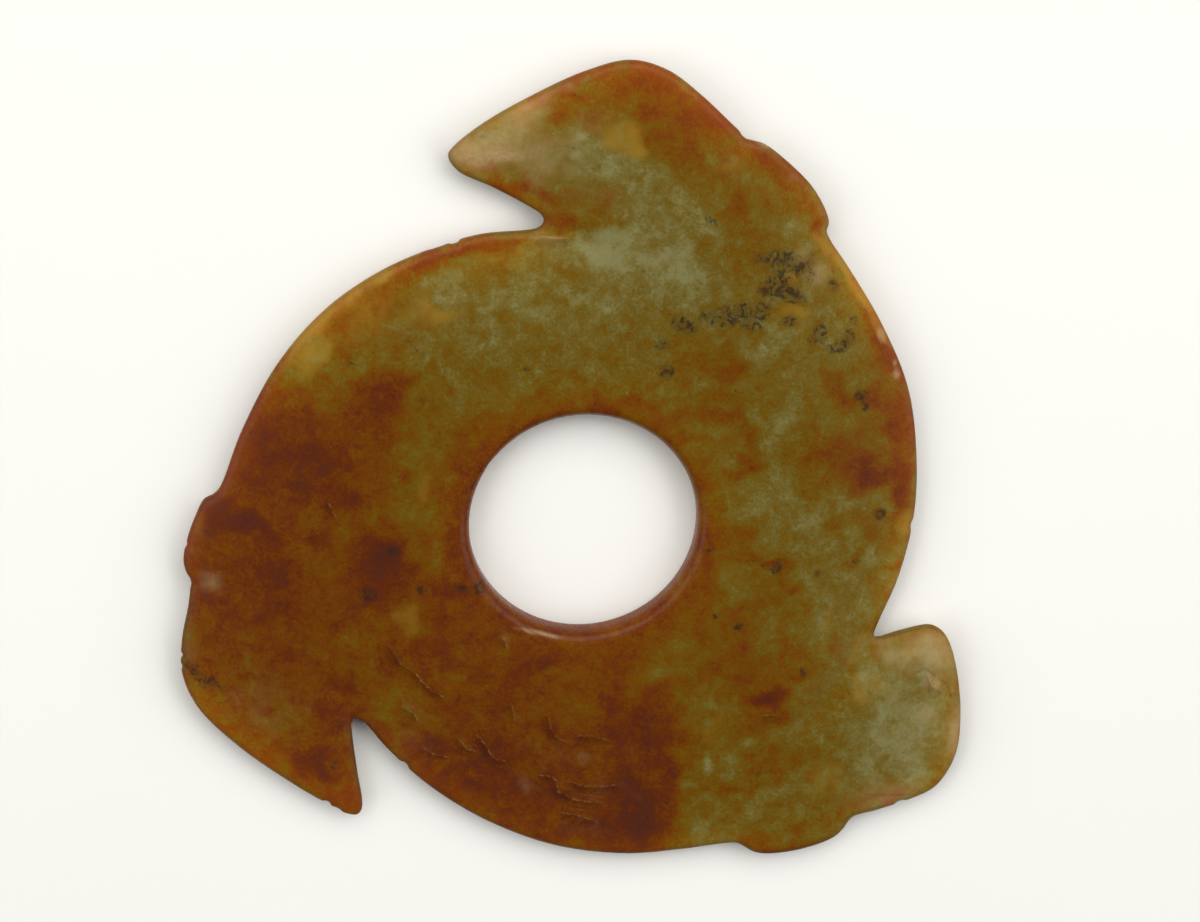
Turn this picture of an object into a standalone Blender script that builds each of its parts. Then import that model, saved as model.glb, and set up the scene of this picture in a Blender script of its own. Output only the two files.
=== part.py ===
"""Notched jade disc, one carved stone, lying flat with its better face up.

A thin round plate with a drilled hole in the middle. Three wings sweep anticlockwise round its
rim, each with a pointed tip over a deep notch, a high crest behind it, and a low nib behind the
crest. Both faces are flat round the hole and thin out towards the rim. Metres, +Z up, +Y towards
the crest of the top wing.
"""
import bpy
import numpy as np
from mathutils import Matrix, Vector
from mathutils.geometry import delaunay_2d_cdt

# Driving dimensions
BODY_RADIUS = 0.0500        # the centre of the hole to the floors of the notches
HOLE_RADIUS = 0.0180
MIDDLE_THICKNESS = 0.0060   # on the flat round the hole
RIM_THICKNESS = 0.0026      # just inside the rounded rim
HOLE_WALL = 0.0018          # the straight part of the hole's wall, between its two lips
HOLE_LIP = 0.0019           # how far the lip of the hole is rounded back
RIM_LAND = 0.0007           # the flat left on the very edge of the rim
RIM_ROUND = 0.0013          # how far the rim is rounded back
FLAT_WIDTH = 0.0070         # the flat round the hole, outside its lip
TAPER_WIDTH = 0.0190        # over which the plate thickens from the rim inwards
RIDGE_BLEND = 0.0030        # how widely the slopes from two edges blend where they meet
HOLLOW_DEPTH = 0.00045      # the ground hollows that run on from the notches
HOLLOW_WIDTH = 0.0022       # half of their width

# How closely the surface is cut up
RIM_STEP = 0.0026
HOLE_SIDES = 72
FACE_STEP = 0.0036

# The outline, anticlockwise, as places read by eye in the reference picture: pixels to the right of
# its upper left corner, and below it
TOP_WING = (
    # the body's arc, from the floor of the right notch
    (873.4, 633.5), (879.5, 617.1), (897.3, 577.2), (912.7, 518.9), (916.3, 460.7), (908.1, 388.6),
    (882.0, 324.2), (846.7, 264.4), (830.8, 240.7),
    # the nib, from nick to nick
    (826.5, 230.6), (828.5, 220.6), (814.2, 189.1), (781.2, 156.1), (764.0, 143.8), (748.8, 138.9),
    # the crest
    (735.3, 126.9), (700.9, 94.5), (668.0, 70.1), (630.7, 60.1), (584.8, 71.5), (524.6, 99.6), (481.6, 124.6),
    # the tip, and back along the notch
    (452.9, 147.5), (448.1, 156.0), (457.2, 169.9), (493.1, 186.8), (528.9, 205.7),
    (540.4, 213.4), (543.8, 220.0),
)
LEFT_WING = (
    # the body's arc, from the floor of the top notch
    (541.2, 225.8), (534.6, 229.2), (481.6, 234.4), (440.3, 245.9), (380.5, 271.5), (325.1, 309.9),
    (278.1, 363.2), (241.9, 430.4), (219.5, 488.0),
    # the nib, worn into two
    (213.2, 494.6), (204.0, 499.5), (195.0, 517.0), (187.2, 539.0), (183.5, 560.0), (189.9, 584.0),
    # the crest, low and long
    (188.5, 604.0), (181.9, 640.0), (182.2, 672.0), (197.3, 705.3), (237.3, 744.0), (293.3, 782.7),
    # the tip, and back along the notch
    (329.3, 803.5), (346.7, 812.0), (357.3, 812.8), (361.9, 807.0), (357.3, 770.7),
    (352.2, 735.0), (351.5, 722.7),
)
RIGHT_WING = (
    # the body's arc, from the floor of the left notch
    (355.5, 717.3), (362.7, 720.0), (386.7, 746.7), (427.7, 783.2), (485.3, 818.4), (553.6, 843.4),
    (624.0, 851.9), (680.0, 847.7), (725.5, 841.7),
    # the nib, from nick to nick
    (736.8, 841.7), (753.8, 850.5), (770.4, 852.0), (804.0, 846.7), (832.9, 835.9), (842.2, 827.7),
    # the crest
    (851.5, 815.9), (876.3, 808.4), (908.4, 798.0), (935.2, 784.3), (954.9, 753.3), (960.0, 714.0),
    # the blunt tip, and back along the notch
    (955.9, 666.5), (946.6, 636.5), (937.3, 627.5), (928.0, 625.1), (899.1, 631.3),
    (880.0, 637.0), (875.3, 636.9),
)
# How the reference picture sees the disc
PICTURE_MIDDLE = (600.0, 461.0)         # pixels
HOLE_IN_PICTURE = (583.1, 521.0)        # pixels, the centre of the hole
LENS_LENGTH = 3000.0                    # pixels
DISC_DISTANCE = 9.432                   # body radii, along the lens
DISC_TILT, TILT_LINE = -20.0, 17.0      # degrees tipped, about a line turned this far

# The hollows: where each starts, and where it dies out, in degrees from +X and shares of BODY_RADIUS
# from the centre of the hole
HOLLOWS = (
    ((336.0, 1.020), (317.0, 1.000)),
    ((97.5, 0.950), (89.0, 0.905)),
    ((222.0, 0.950), (214.0, 0.940)),
)


def laid_flat(pixels):
    """Lay places in the picture flat in the disc's own plane, as X and Y from the hole's centre.

    Each place's line of sight, turned into the disc's frame, is run on from the lens to the plane.
    """
    across, down = (np.array([HOLE_IN_PICTURE, *pixels]) - PICTURE_MIDDLE).T / LENS_LENGTH
    tipped = Matrix.Rotation(np.radians(TILT_LINE), 3, "Z") @ Matrix.Rotation(np.radians(DISC_TILT), 3, "X")
    tipped = np.array(tipped @ Matrix.Rotation(np.radians(-TILT_LINE), 3, "Z"))
    sight = np.column_stack([across, -down, np.full(len(across), -1.0)]) @ tipped.T
    lens = -DISC_DISTANCE * sight[0]
    met = lens - sight[1:] * lens[2] / sight[1:, 2:]
    return BODY_RADIUS * met[:, :2]


def polar(points):
    """Turn pairs of degrees and shares of the body radius into X and Y."""
    angle, share = np.radians([p[0] for p in points]), np.array([p[1] for p in points])
    return BODY_RADIUS * share[:, None] * np.column_stack([np.cos(angle), np.sin(angle)])


def closed_curve(knots, step):
    """Run a centripetal Catmull-Rom curve through a closed row of points, about one step apart."""
    before, after = np.roll(knots, 1, axis=0), np.roll(knots, -1, axis=0)
    beyond = np.roll(knots, -2, axis=0)
    pieces = []
    for p0, p1, p2, p3 in zip(before, knots, after, beyond):
        t1 = np.linalg.norm(p1 - p0) ** 0.5
        t2 = t1 + np.linalg.norm(p2 - p1) ** 0.5
        t3 = t2 + np.linalg.norm(p3 - p2) ** 0.5
        count = max(2, int(round(np.linalg.norm(p2 - p1) / step)))
        t = np.linspace(t1, t2, count + 1)[:-1, None]
        a1 = ((t1 - t) * p0 + t * p1) / t1
        a2 = ((t2 - t) * p1 + (t - t1) * p2) / (t2 - t1)
        a3 = ((t3 - t) * p2 + (t - t2) * p3) / (t3 - t2)
        b1 = ((t2 - t) * a1 + t * a2) / t2
        b2 = ((t3 - t) * a2 + (t - t1) * a3) / (t3 - t1)
        pieces.append(((t2 - t) * b1 + (t - t1) * b2) / (t2 - t1))
    return np.concatenate(pieces)


def distance_to(points, starts, ends):
    """Give each point's distance to the nearest of a set of straight lines."""
    run = ends - starts
    along = ((points[:, None] - starts) * run).sum(axis=2) / (run ** 2).sum(axis=1)
    nearest = starts + np.clip(along, 0, 1)[:, :, None] * run
    return np.linalg.norm(points[:, None] - nearest, axis=2).min(axis=1)


def is_inside(points, loop):
    """Tell which points a closed loop goes round, by the edges that lie to the right of each."""
    start, end = loop, np.roll(loop, -1, axis=0)
    x, y = points[:, :1], points[:, 1:]
    spans = (start[:, 1] > y) != (end[:, 1] > y)
    rise = np.where(end[:, 1] == start[:, 1], 1.0, end[:, 1] - start[:, 1])
    crossing = start[:, 0] + (y - start[:, 1]) * (end[:, 0] - start[:, 0]) / rise
    return (spans & (x < crossing)).sum(axis=1) % 2 == 1


def rounded(depth, width):
    """Rise along a quarter circle from 0 at the edge to 1 at the given width."""
    share = np.clip(depth / width, 0, 1)
    return np.sqrt(1 - (1 - share) ** 2)


def soft_depth(points, outline):
    """Give a depth inside the rim that has no ridge halfway between two edges.

    Each bit of the outline counts for its length, times a share that dies away with its distance.
    The sum falls off steadily inwards from a straight rim, and its logarithm is the depth.
    """
    length = np.linalg.norm(np.roll(outline, -1, axis=0) - np.roll(outline, 1, axis=0), axis=1) / 2
    gap = np.linalg.norm(points[:, None] - outline, axis=2)
    return -RIDGE_BLEND * np.log((np.exp(-gap / RIDGE_BLEND) * length).sum(axis=1) / (2 * RIDGE_BLEND))


def half_thickness(points, outline):
    """Give half of the plate's thickness at each point, from its distances to rim and hole."""
    from_rim = distance_to(points, outline, np.roll(outline, -1, axis=0))
    from_hole = np.linalg.norm(points, axis=1) - HOLE_RADIUS
    inwards = np.clip(soft_depth(points, outline) / TAPER_WIDTH, 0, 1)
    taper = (RIM_THICKNESS + (MIDDLE_THICKNESS - RIM_THICKNESS) * inwards * (2 - inwards)) / 2
    flat = np.clip((from_hole - HOLE_LIP - FLAT_WIDTH) / TAPER_WIDTH, 0, 1)
    level = flat * flat * (3 - 2 * flat)
    face = MIDDLE_THICKNESS / 2 * (1 - level) + taper * level
    starts, ends = (polar(row) for row in zip(*HOLLOWS))
    hollow = HOLLOW_DEPTH * np.exp(-(distance_to(points, starts, ends) / HOLLOW_WIDTH) ** 2)
    face = face - hollow * np.clip(level * 4, 0, 1)
    rim = RIM_LAND / 2 + (face - RIM_LAND / 2) * rounded(from_rim, RIM_ROUND)
    hole = HOLE_WALL / 2 + (face - HOLE_WALL / 2) * rounded(from_hole, HOLE_LIP)
    return np.minimum(rim, hole)


def circle(radius):
    """Place the sides of a round line about the hole."""
    turn = np.linspace(0, 2 * np.pi, HOLE_SIDES, endpoint=False)
    return radius * np.column_stack([np.cos(turn), np.sin(turn)])


def hollow_rows(first, last):
    """Place rows of points along a hollow, at its bottom and on both of its sides."""
    along = (last - first) / np.linalg.norm(last - first)
    across = np.array([-along[1], along[0]])
    places = first + np.linspace(0, 1, 8)[:, None] * (last - first)
    return np.concatenate([places + across * HOLLOW_WIDTH * side for side in (-1.4, -0.7, 0, 0.7, 1.4)])


def even_grid(reach):
    """Place a grid of even triangles over the whole plate."""
    x, y = np.meshgrid(np.arange(-reach, reach, FACE_STEP), np.arange(-reach, reach, FACE_STEP * 0.75 ** 0.5))
    x = x + (np.arange(len(y)) % 2)[:, None] * FACE_STEP / 2
    return np.column_stack([x.ravel(), y.ravel()])


def inner_points(outline):
    """Place the points inside the plate, each set clear of the rim and of the sets before it."""
    run = np.roll(outline, -1, axis=0) - np.roll(outline, 1, axis=0)
    inward = np.column_stack([-run[:, 1], run[:, 0]]) / np.linalg.norm(run, axis=1)[:, None]
    close, apart = RIM_ROUND * 0.15, FACE_STEP * 0.5
    sets = [(outline + inward * RIM_ROUND * share, RIM_ROUND * share * 0.95, close) for share in (0.3, 1.0)]
    sets += [(circle(HOLE_RADIUS + HOLE_LIP * share), RIM_ROUND, close) for share in (0.12, 0.45, 1.0)]
    sets += [(hollow_rows(*polar(ends)), RIM_ROUND * 1.5, close) for ends in HOLLOWS]
    sets += [(even_grid(np.abs(outline).max() + FACE_STEP), RIM_ROUND * 2.2, apart)]
    kept = np.empty((0, 2))
    for points, room, gap in sets:
        clear = is_inside(points, outline) & (np.linalg.norm(points, axis=1) > HOLE_RADIUS * 1.001)
        clear &= distance_to(points, outline, np.roll(outline, -1, axis=0)) > room
        points = points[clear]
        if len(kept):
            points = points[np.linalg.norm(points[:, None] - kept, axis=2).min(axis=1) > gap]
        kept = np.vstack([kept, points])
    return kept


def plan_triangles(outline, hole):
    """Cut the plate's plan into triangles, all anticlockwise, between its outline and its hole."""
    plan = np.vstack([outline, hole, inner_points(outline)])
    loops = [np.arange(len(outline)), len(outline) + np.arange(len(hole))]
    edges = [(int(a), int(b)) for loop in loops for a, b in zip(loop, np.roll(loop, -1))]
    placed, _, cut, _, _, _ = delaunay_2d_cdt([Vector(p) for p in plan], edges, [], 0, 1e-7)
    points, faces = np.array([tuple(p) for p in placed]), np.array(cut)
    middle = points[faces].mean(axis=1)
    faces = faces[is_inside(middle, outline) & ~is_inside(middle, hole)]
    (ax, ay), (bx, by) = (points[faces[:, i]].T - points[faces[:, 0]].T for i in (1, 2))
    clockwise = ax * by < ay * bx
    faces[clockwise] = faces[clockwise][:, ::-1]
    return points, faces


def plate_mesh(name):
    """Lift the plan to both faces, and join them by a wall wherever a triangle has no neighbour."""
    outline = closed_curve(laid_flat(TOP_WING + LEFT_WING + RIGHT_WING), RIM_STEP)
    points, faces = plan_triangles(outline, circle(HOLE_RADIUS))
    half = half_thickness(points, outline)
    placed = points - (outline.min(axis=0) + outline.max(axis=0)) / 2
    top = np.column_stack([placed, MIDDLE_THICKNESS / 2 + half])
    under = np.column_stack([placed, MIDDLE_THICKNESS / 2 - half])
    count = len(points)
    sides = {(int(a), int(b)) for face in faces for a, b in zip(face, np.roll(face, -1))}
    walls = [(b, a, a + count, b + count) for a, b in sorted(sides) if (b, a) not in sides]
    mesh = bpy.data.meshes.new(name)
    shell = faces.tolist() + (faces[:, ::-1] + count).tolist() + walls
    mesh.from_pydata(np.vstack([top, under]).tolist(), [], shell)
    mesh.update()
    mesh.shade_smooth()
    mesh.set_sharp_from_angle(angle=np.radians(50))
    return mesh


def jade(name):
    """The stone: a half-clear olive and rust brown jade with a wax-like polish."""
    material = bpy.data.materials.new(name)
    material.use_nodes = True
    shader = material.node_tree.nodes["Principled BSDF"]
    shader.inputs["Base Color"].default_value = (0.30, 0.15, 0.04, 1)
    shader.inputs["Roughness"].default_value = 0.35
    shader.inputs["Metallic"].default_value = 0.0
    return material


for old in list(bpy.data.objects):
    bpy.data.objects.remove(old, do_unlink=True)

disc = bpy.data.objects.new("jade_disc", plate_mesh("jade_disc"))
disc.data.materials.append(jade("jade"))
bpy.context.scene.collection.objects.link(disc)
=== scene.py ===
import bpy
import numpy as np
from mathutils import Matrix, Vector


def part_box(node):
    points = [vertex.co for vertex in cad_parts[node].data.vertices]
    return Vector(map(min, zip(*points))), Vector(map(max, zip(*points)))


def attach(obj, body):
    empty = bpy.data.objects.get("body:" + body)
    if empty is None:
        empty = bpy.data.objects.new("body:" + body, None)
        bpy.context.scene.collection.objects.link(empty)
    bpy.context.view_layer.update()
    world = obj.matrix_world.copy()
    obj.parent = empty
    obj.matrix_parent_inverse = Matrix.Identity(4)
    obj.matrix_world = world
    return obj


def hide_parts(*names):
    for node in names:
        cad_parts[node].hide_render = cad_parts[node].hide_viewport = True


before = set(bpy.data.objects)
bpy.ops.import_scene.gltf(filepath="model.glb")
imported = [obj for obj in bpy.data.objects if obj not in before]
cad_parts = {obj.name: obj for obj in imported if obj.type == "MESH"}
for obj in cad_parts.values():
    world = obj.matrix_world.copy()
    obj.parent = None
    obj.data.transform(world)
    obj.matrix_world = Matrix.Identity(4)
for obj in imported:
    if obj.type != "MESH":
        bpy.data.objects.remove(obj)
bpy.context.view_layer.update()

# The jade disc: one flat stone with a drilled hole and three swept wings, each with a tip over a
# notch, a crest and a nib. Half-clear nephrite, sawn from a slab, ground thin towards its rim,
# polished, and stained olive, ochre and rust brown by long burial.
BODY_RADIUS = 0.0500        # the centre of the hole to the floors of the notches
HOLE_RADIUS = 0.0180
RIM_THICKNESS = 0.0026      # just inside the rounded rim
HOLE_WALL = 0.0018          # the straight part of the hole's wall, between its two lips
HOLE_LIP = 0.0019           # how far the lip of the hole is rounded back
RIM_LAND = 0.0007           # the flat left on the very edge of the rim
RIM_ROUND = 0.0013          # how far the rim is rounded back
FLAT_WIDTH = 0.0070         # the flat round the hole, outside its lip
TAPER_WIDTH = 0.0190        # over which the plate thickens from the rim inwards
RIDGE_BLEND = 0.0030        # how widely the slopes from two edges blend where they meet
HOLLOW_DEPTH = 0.00045      # the ground hollows that run on from the notches
HOLLOW_WIDTH = 0.0022       # half of their width
GRINDING_DEPTH = 0.00006    # the slow waves left by grinding the faces by hand
FLAKE_DEPTH = 0.00010       # the thin flakes lost from the lower part of the face

# The outline, anticlockwise, as places read in the reference picture: pixels to the right of
# its upper left corner, and below it
TOP_WING = (
    # the body's arc, from the floor of the right notch
    (873.4, 633.5), (879.5, 617.1), (897.3, 577.2), (912.7, 518.9), (916.3, 460.7), (908.1, 388.6),
    (882.0, 324.2), (846.7, 264.4), (830.8, 240.7),
    # the nib, from nick to nick
    (826.5, 230.6), (828.5, 220.6), (814.2, 189.1), (781.2, 156.1), (764.0, 143.8), (748.8, 138.9),
    # the crest
    (735.3, 126.9), (700.9, 94.5), (668.0, 70.1), (630.7, 60.1), (584.8, 71.5), (524.6, 99.6),
    (481.6, 124.6),
    # the tip, and back along the notch
    (452.9, 147.5), (448.1, 156.0), (457.2, 169.9), (493.1, 186.8), (528.9, 205.7),
    (540.4, 213.4), (543.8, 220.0),
)
LEFT_WING = (
    # the body's arc, from the floor of the top notch
    (541.2, 225.8), (534.6, 229.2), (481.6, 234.4), (440.3, 245.9), (380.5, 271.5), (325.1, 309.9),
    (278.1, 363.2), (241.9, 430.4), (219.5, 488.0),
    # the nib, worn into two
    (213.2, 494.6), (204.0, 499.5), (195.0, 517.0), (187.2, 539.0), (183.5, 560.0), (189.9, 584.0),
    # the crest, low and long
    (188.5, 604.0), (181.9, 640.0), (182.2, 672.0), (197.3, 705.3), (237.3, 744.0), (293.3, 782.7),
    # the tip, and back along the notch
    (329.3, 803.5), (346.7, 812.0), (357.3, 812.8), (361.9, 807.0), (357.3, 770.7),
    (352.2, 735.0), (351.5, 722.7),
)
RIGHT_WING = (
    # the body's arc, from the floor of the left notch
    (355.5, 717.3), (362.7, 720.0), (386.7, 746.7), (427.7, 783.2), (485.3, 818.4), (553.6, 843.4),
    (624.0, 851.9), (680.0, 847.7), (725.5, 841.7),
    # the nib, from nick to nick
    (736.8, 841.7), (753.8, 850.5), (770.4, 852.0), (804.0, 846.7), (832.9, 835.9), (842.2, 827.7),
    # the crest
    (851.5, 815.9), (876.3, 808.4), (908.4, 798.0), (935.2, 784.3), (954.9, 753.3), (960.0, 714.0),
    # the blunt tip, and back along the notch
    (955.9, 666.5), (946.6, 636.5), (937.3, 627.5), (928.0, 625.1), (899.1, 631.3),
    (880.0, 637.0), (875.3, 636.9),
)
OUTLINE = TOP_WING + LEFT_WING + RIGHT_WING

# How the reference picture sees the disc
PICTURE_MIDDLE = (600.0, 461.0)         # pixels
HOLE_IN_PICTURE = (583.1, 521.0)        # pixels, the centre of the hole
LENS_LENGTH = 3000.0                    # pixels
DISC_DISTANCE = 9.432                   # body radii, along the lens
DISC_TILT, TILT_LINE = -20.0, 17.0      # degrees tipped, about a line turned this far

# The hollows: where each starts and where it dies out, in degrees from +X and shares of BODY_RADIUS
# from the centre of the hole
HOLLOWS = (
    ((336.0, 1.020), (317.0, 1.000)),
    ((97.5, 0.950), (89.0, 0.905)),
    ((222.0, 0.950), (214.0, 0.940)),
)

# How many degrees behind the notch, the first nick and the tip of each wing the skin's columns leave
# the hole, and which rows of a wing hold those three places
COLUMN_LEADS = ((19, 4, 42), (20, 6, 46), (21, 6, 36))
MARKED_ROWS = (0, 9, 23)

# Small breaks in the edge: X, Y, how deep and half how wide, in metres in the part's own frame
CHIPS = (
    (-0.0198, 0.0383, 0.00040, 0.0008), (-0.0222, 0.0378, 0.00015, 0.0016),
    (-0.0628, -0.0284, 0.00030, 0.0005), (-0.0630, -0.0302, 0.00018, 0.0005),
    (-0.0402, -0.0545, 0.00040, 0.0007), (-0.0386, -0.0556, 0.00020, 0.0008),
    (-0.0279, -0.0484, 0.00035, 0.0008), (0.0535, -0.0573, 0.00035, 0.0009),
    (0.0527, -0.0087, 0.00025, 0.0009), (-0.0619, -0.0098, 0.00025, 0.0006),
    (0.0243, 0.0545, 0.00020, 0.0009), (-0.0618, -0.0160, 0.00030, 0.0012),
)
HOLE_WEAR = (144.0, 0.00035, 6.0)   # a worn corner in the hole: degrees, how deep and half how wide

COLUMNS = 836
TOP_FACE_ROWS, UNDER_FACE_ROWS, LIP_ROWS, RIM_ROWS = 62, 28, 6, 6


def picture_to_disc():
    """The turn from the picture's directions into the disc's: a tilt about a line in the disc's plane."""
    turned = Matrix.Rotation(np.radians(TILT_LINE), 3, "Z")
    return turned @ Matrix.Rotation(np.radians(DISC_TILT), 3, "X") @ turned.transposed()


def lines_of_sight(pixels):
    """Give the direction in which the lens sees each place in the picture, one lens length deep."""
    across, down = (np.array(pixels) - PICTURE_MIDDLE).T / LENS_LENGTH
    return np.column_stack([across, -down, np.full(len(across), -1.0)])


def laid_flat(pixels):
    """Lay places in the picture flat in the disc's own plane, as X and Y from the hole's centre.

    Each place's line of sight, turned into the disc's frame, is run on from the lens to the plane.
    """
    sight = lines_of_sight([HOLE_IN_PICTURE, *pixels]) @ np.array(picture_to_disc()).T
    lens = -DISC_DISTANCE * sight[0]
    met = lens - sight[1:] * lens[2] / sight[1:, 2:]
    return BODY_RADIUS * met[:, :2]


def polar(rows):
    """Turn pairs of degrees and shares of the body radius into X and Y from the hole's centre."""
    angle, share = np.radians([row[0] for row in rows]), np.array([row[1] for row in rows])
    return BODY_RADIUS * share[:, None] * np.column_stack([np.cos(angle), np.sin(angle)])


def closed_curve(knots, cuts):
    """Run a centripetal Catmull-Rom curve through a closed row of knots.

    Each span starts at its own time, the times between knots being the roots of their distances,
    and three rounds of mixing neighbours by time give the curve.
    """
    row = [np.roll(knots, turn, axis=0)[:, None] for turn in (1, 0, -1, -2)]
    wait = [np.linalg.norm(b - a, axis=2, keepdims=True) ** 0.5 for a, b in zip(row, row[1:])]
    times = [0 * wait[0], wait[0], wait[0] + wait[1], wait[0] + wait[1] + wait[2]]
    now = times[1] + wait[1] * np.linspace(0, 1, cuts, endpoint=False)[None, :, None]
    for reach in (1, 2):
        row = [((times[i + reach] - now) * row[i] + (now - times[i]) * row[i + 1])
               / (times[i + reach] - times[i]) for i in range(4 - reach)]
    return (((times[2] - now) * row[0] + (now - times[1]) * row[1]) / wait[1]).reshape(-1, 2)


def sampled(line, places, wanted):
    """Read a closed line or row of values, given at rising places, at the places wanted."""
    closed = np.concatenate([line, line[:1]]).reshape(len(line) + 1, -1)
    return np.stack([np.interp(wanted, places, column) for column in closed.T], axis=-1).squeeze()


def smoothed(values, width):
    """Average a closed row over a bell of the given width."""
    bell = np.hanning(width + 2)[1:-1]
    side = width // 2
    return np.convolve(np.concatenate([values[-side:], values, values[:side]]), bell / bell.sum(), "valid")


def distance_to(points, starts, ends):
    """Give each point's distance to the nearest of a set of straight lines, and which one that is."""
    run = ends - starts
    along = ((points[:, None] - starts) * run).sum(axis=2) / (run ** 2).sum(axis=1)
    nearest = starts + np.clip(along, 0, 1)[:, :, None] * run
    gap = np.linalg.norm(points[:, None] - nearest, axis=2)
    return gap.min(axis=1), gap.argmin(axis=1)


def rounded(depth, width):
    """Rise along a quarter circle from 0 at the edge to 1 at the given width."""
    share = np.clip(depth / width, 0, 1)
    return np.sqrt(1 - (1 - share) ** 2)


def smooth_step(value, low, high):
    """Rise from 0 at the low end to 1 at the high end, level at both."""
    share = np.clip((value - low) / (high - low), 0, 1)
    return share * share * (3 - 2 * share)


def rim_lines(middle):
    """Give the rim's edge and a line just inside its rounding, both cut into the same columns.

    The outline is read at very fine even steps. A column comes after each equal share of a measure
    that counts every step for its length and more where the edge bends or is chipped. The inner
    line lies one rounding inside the edge, and less where a tip bends more sharply than that.
    """
    fine = closed_curve(laid_flat(OUTLINE), 120)
    steps = np.linalg.norm(np.roll(fine, -1, axis=0) - fine, axis=1)
    lengths = np.concatenate([[0], np.cumsum(steps)])
    count = 12000
    fine = sampled(fine, lengths, np.linspace(0, lengths[-1], count, endpoint=False))
    step = lengths[-1] / count
    run = np.roll(fine, -1, axis=0) - np.roll(fine, 1, axis=0)
    inward = np.column_stack([-run[:, 1], run[:, 0]]) / np.linalg.norm(run, axis=1)[:, None]
    heading = np.arctan2(run[:, 1], run[:, 0])
    turned = np.angle(np.exp(1j * (np.roll(heading, -8) - np.roll(heading, 8))))
    bend = smoothed(turned / (16 * step), 41)
    room = np.minimum(RIM_ROUND, 0.55 / np.maximum(bend, 1))
    room = smoothed(np.min([np.roll(room, shift) for shift in range(-60, 61, 5)], axis=0), 161)
    chipped, near = np.zeros(count), np.zeros(count)
    for x, y, depth, width in CHIPS:
        away = np.linalg.norm(fine + middle - (x, y), axis=1) / width
        chipped = chipped + depth * np.exp(-away ** 4)
        near = near + 1.5 * np.exp(-(away / 1.6) ** 2)
    measure = np.concatenate([[0], np.cumsum((1 + 0.004 * np.abs(bend) + near) * step)])
    wanted = np.linspace(0, measure[-1], COLUMNS, endpoint=False)
    edge = sampled(fine + inward * chipped[:, None], measure, wanted)
    return edge, sampled(fine + inward * room[:, None], measure, wanted)


def column_starts(edge):
    """Give the angle at which each column leaves the hole.

    It lies behind the angle where the column meets the rim, by the lead of the nearest marked
    places on each side, mixed by how far along the rim they are.
    """
    marked = laid_flat([wing[row] for wing in (TOP_WING, LEFT_WING, RIGHT_WING) for row in MARKED_ROWS])
    at = np.linalg.norm(edge - marked[:, None], axis=2).argmin(axis=1)
    angle = np.degrees(np.unwrap(np.arctan2(marked[:, 1], marked[:, 0]))) - np.ravel(COLUMN_LEADS)
    at = np.concatenate([at - COLUMNS, at, at + COLUMNS])
    angle = np.concatenate([angle - 360, angle, angle + 360])
    reach = 15
    spread = np.interp(np.arange(-reach, COLUMNS + reach), at, angle)
    bell = np.hanning(2 * reach + 1)
    return np.radians(np.convolve(spread, bell / bell.sum(), "valid"))


def face_grid(starts, inner, rows):
    """Place the rows of a face between the lip of the hole and the rounding of the rim.

    A column goes outwards at an even pace, and turns from its start to its place on the rim by the
    square of how far it has come. Each place is then eased towards the middle of its neighbours.
    """
    reach, angle = np.linalg.norm(inner, axis=1), np.unwrap(np.arctan2(inner[:, 1], inner[:, 0]))
    out = np.linspace(0, 1, rows)[:, None]
    lip = HOLE_RADIUS + HOLE_LIP
    turn, far = starts + (angle - starts) * out ** 2, lip + (reach - lip) * out
    grid = np.stack([far * np.cos(turn), far * np.sin(turn)], axis=-1)
    for _ in range(8):
        beside = np.roll(grid, 1, axis=1)[1:-1] + np.roll(grid, -1, axis=1)[1:-1]
        grid[1:-1] = grid[1:-1] / 2 + (beside + grid[2:] + grid[:-2]) / 8
    return grid


def plan_of_skin(middle):
    """Give the plan of the whole skin, row by row, and which rows are under the stone.

    The rows go up the hole's top lip, out over the face, down round the rim, back in under the
    stone and up the hole's lower lip, so that the last row meets the first at the hole's wall.
    """
    edge, inner = rim_lines(middle)
    starts = column_starts(edge)
    rise = np.radians(np.linspace(0, 90, LIP_ROWS + 1)[:-1])[:, None]
    corner, depth, width = HOLE_WEAR
    from_corner = np.degrees(np.angle(np.exp(1j * (starts - np.radians(corner)))))
    wear = depth * np.exp(-(from_corner / width) ** 2)
    radius = HOLE_RADIUS + HOLE_LIP * (1 - np.cos(rise)) + wear * np.cos(rise)
    lip = np.stack([radius * np.cos(starts), radius * np.sin(starts)], axis=-1)
    share = 1 - np.cos(np.radians(np.linspace(90, 0, RIM_ROWS + 1)[1:]))[:, None, None]
    rim = edge + (inner - edge) * share
    top = np.concatenate([lip, face_grid(starts, inner, TOP_FACE_ROWS), rim])
    under = np.concatenate([lip, face_grid(starts, inner, UNDER_FACE_ROWS), rim])[::-1]
    return np.concatenate([top, under]), np.arange(len(top) + len(under)) >= len(top), edge


def grinding(points, seed):
    """The waves that hand grinding leaves: ten sine waves crossing at seeded angles, from -1 to 0."""
    chance = np.random.default_rng(seed)
    height = np.zeros(points.shape[:-1])
    for _ in range(10):
        angle = chance.uniform(0, 2 * np.pi)
        length = chance.uniform(0.006, 0.018)
        start = chance.uniform(0, 7)
        across = points @ np.array([np.cos(angle), np.sin(angle)])
        height = height + np.sin(2 * np.pi * across / length + start)
    return np.tanh(height / 3) / 2 - 0.5


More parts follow.
